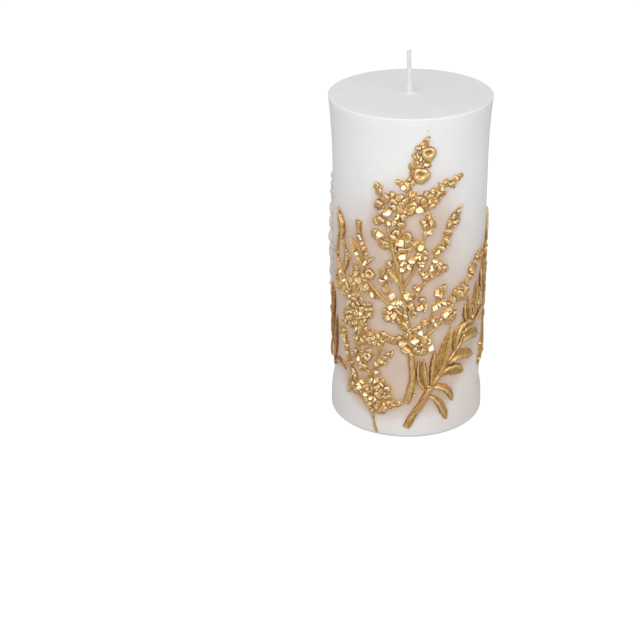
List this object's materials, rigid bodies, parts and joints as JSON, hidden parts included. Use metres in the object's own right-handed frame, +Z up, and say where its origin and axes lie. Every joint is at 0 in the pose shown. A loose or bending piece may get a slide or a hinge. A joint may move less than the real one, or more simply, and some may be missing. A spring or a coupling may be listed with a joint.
{
  "type": "pillar candle",
  "caption": "White wax pillar candle with a waxed wick and gilded botanical sprigs in low relief all round its side.",
  "frame": {"origin": "centre of the flat base that the candle stands on", "axes": "+Z up along the candle's axis, towards the wick; -Y is the front line, where the tall blossom sprig stands; +X is to the right of it"},
  "size_m": [0.0692, 0.0696, 0.1634],
  "materials": {
    "wax": "smooth white candle wax, slightly translucent, with a soft silky sheen",
    "wick_cotton": "braided cotton, stiffened and whitened by wax",
    "sustainer_steel": "bright tinned sheet",
    "gold_relief": "hand-painted antique gold, bright on the high points and brown in the crevices"
  },
  "bodies": {
    "root": {"wax_body": "wax", "wick": "wick_cotton", "wick_sustainer": "sustainer_steel", "tall_blossom_sprig_front": "gold_relief", "leaf_sprig_front": "gold_relief", "bushy_blossom_sprig_front": "gold_relief", "narrow_leaf_sprig_front": "gold_relief", "trailing_sprig_front": "gold_relief", "tall_blossom_sprig_back": "gold_relief", "leaf_sprig_back": "gold_relief", "bushy_blossom_sprig_back": "gold_relief", "narrow_leaf_sprig_back": "gold_relief", "trailing_sprig_back": "gold_relief"}
  },
  "joints": []
}
